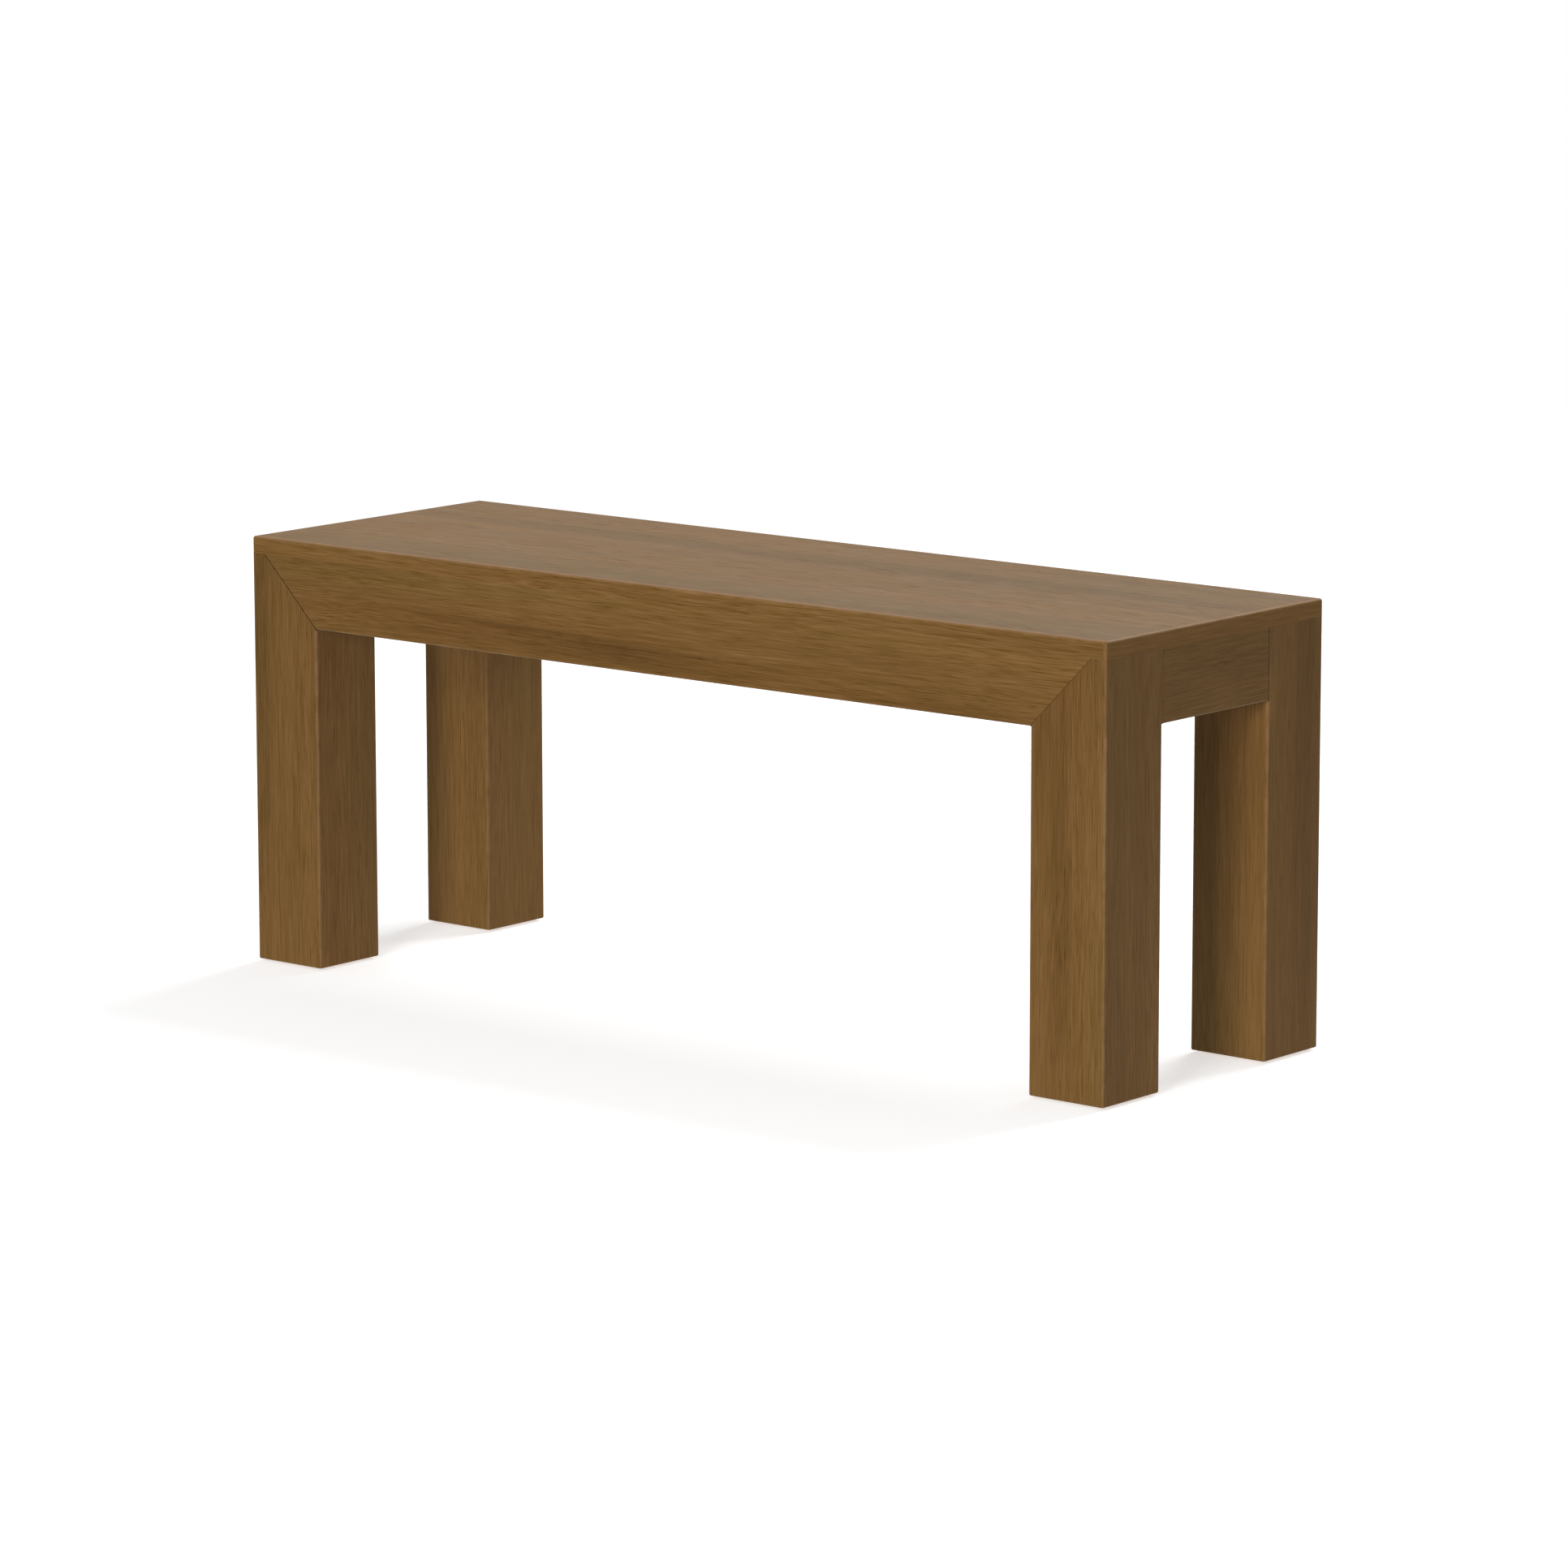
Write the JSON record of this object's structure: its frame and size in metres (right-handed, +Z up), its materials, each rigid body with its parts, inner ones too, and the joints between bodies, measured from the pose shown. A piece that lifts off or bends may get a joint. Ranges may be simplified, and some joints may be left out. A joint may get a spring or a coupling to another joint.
{
  "type": "backless wooden bench",
  "caption": "Low backless wooden bench with a flat slab seat, flush mitred aprons and thick square legs that bolt on at corner blocks.",
  "frame": {"origin": "on the floor under the middle of the seat", "axes": "+X along the bench, +Y from the front to the back, +Z up"},
  "size_m": [1.125, 0.356, 0.457],
  "materials": {
    "seat_wood": "warm brown stained boards, fine dark pores along the grain, satin lacquer",
    "frame_wood": "golden brown stained rails, fine dark pores along the grain, satin lacquer",
    "leg_wood": "golden to reddish brown stained posts, upright grain, satin lacquer",
    "block_wood": "sawn pale wood, unstained, matt",
    "fastener_steel": "zinc plated steel",
    "glide_plastic": "dark brown moulded plastic"
  },
  "bodies": {
    "root": {"batten_screws": "fastener_steel", "block_screws": "fastener_steel", "front_left_block": "block_wood", "front_left_glide": "glide_plastic", "front_left_leg": "leg_wood", "front_rail": "frame_wood", "front_right_block": "block_wood", "front_right_glide": "glide_plastic", "front_right_leg": "leg_wood", "glide_nails": "fastener_steel", "hanger_bolts": "fastener_steel", "left_batten": "block_wood", "left_lipping": "seat_wood", "left_rail": "frame_wood", "nuts": "fastener_steel", "rear_left_block": "block_wood", "rear_left_glide": "glide_plastic", "rear_left_leg": "leg_wood", "rear_rail": "frame_wood", "rear_right_block": "block_wood", "rear_right_glide": "glide_plastic", "rear_right_leg": "leg_wood", "right_batten": "block_wood", "right_lipping": "seat_wood", "right_rail": "frame_wood", "seat_board_1": "seat_wood", "seat_board_2": "seat_wood", "seat_board_3": "seat_wood", "seat_board_4": "seat_wood", "washers": "fastener_steel"}
  },
  "joints": []
}
